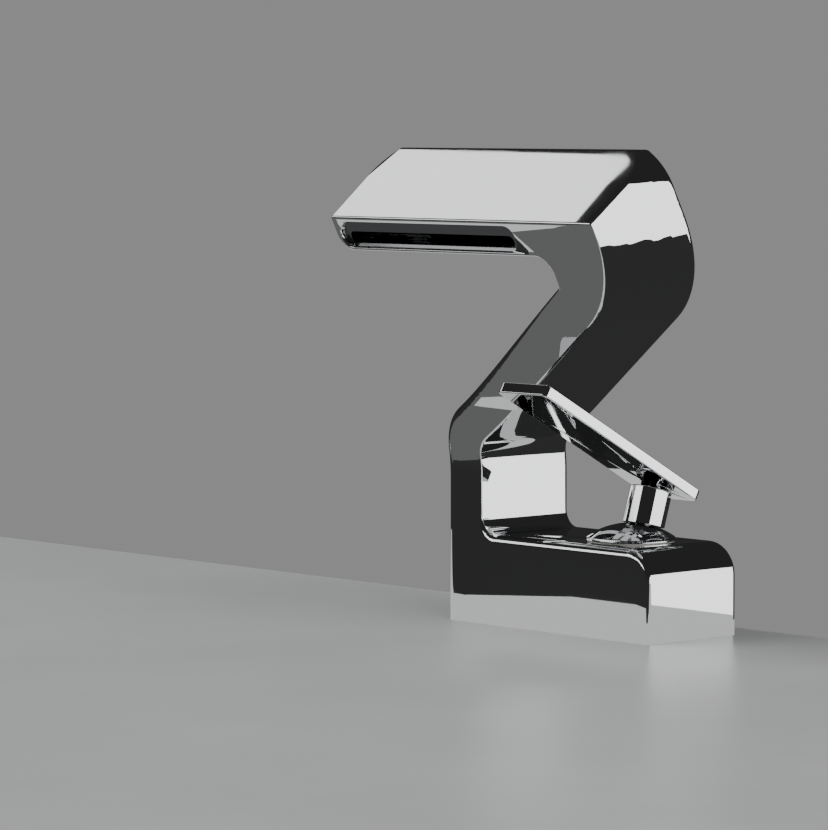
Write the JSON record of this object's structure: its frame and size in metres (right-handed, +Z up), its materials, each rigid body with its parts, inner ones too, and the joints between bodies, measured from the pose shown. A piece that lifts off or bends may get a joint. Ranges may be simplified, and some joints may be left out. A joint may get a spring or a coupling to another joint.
{
  "type": "basin mixer faucet",
  "caption": "Single-lever basin mixer: block base, ribbon body leaning forward to a wide flat outlet bar, plate lever on a tilting stem.",
  "frame": {"origin": "centre of the base footprint, on the deck plane under the gasket", "axes": "+X along the wall to the user's right, +Y towards the wall, +Z up; the outlet and the lever face -Y"},
  "size_m": [0.1513, 0.0955, 0.1912],
  "materials": {
    "chrome": "polished",
    "lever_chrome": "polished",
    "nozzle_chrome": "satin",
    "brass": "turned",
    "stainless": "turned",
    "white_ceramic": "lapped",
    "white_plastic": "moulded",
    "grey_plastic": "moulded",
    "black_rubber": "matte"
  },
  "bodies": {
    "spout": {"spout_body": "chrome", "outlet_nozzle": "nozzle_chrome", "nozzle_seal": "black_rubber", "cartridge_base": "white_plastic", "port_seals": "black_rubber", "fixed_disc": "white_ceramic", "cartridge_housing": "white_plastic", "housing_seal": "black_rubber", "cartridge_nut": "brass", "glide_ring": "white_plastic", "base_cover": "grey_plastic", "cover_screws": "stainless", "deck_gasket": "black_rubber"},
    "swivel": {"cartridge_turret": "grey_plastic", "lever_pin": "stainless", "dome_cap": "chrome"},
    "lever": {"spindle": "stainless", "lever_stem": "chrome", "lever_plate": "lever_chrome", "set_screw": "stainless", "index_plug": "grey_plastic"},
    "disc_slide": {"disc_carrier": "grey_plastic", "moving_disc": "white_ceramic"}
  },
  "joints": [
    {"name": "lever_swivel", "type": "hinge", "parent": "spout", "child": "swivel", "pos_m": [0.023, 0, 0.02], "axis": [0, 0, 1], "range_deg": [-16, 30]},
    {"name": "lever_tilt", "type": "hinge", "parent": "swivel", "child": "lever", "pos_m": [0.023, 0, 0.02], "axis": [-1, 0, 0], "range_deg": [-17.7, 1.3]},
    {"name": "disc_travel", "type": "slide", "parent": "swivel", "child": "disc_slide", "axis": [0, 1, 0], "range_m": [-0.0003, 0.0016]}
  ],
  "couplings": [
    {"joint": "disc_travel", "follows": "lever_tilt", "m_per_rad": -0.004527}
  ]
}
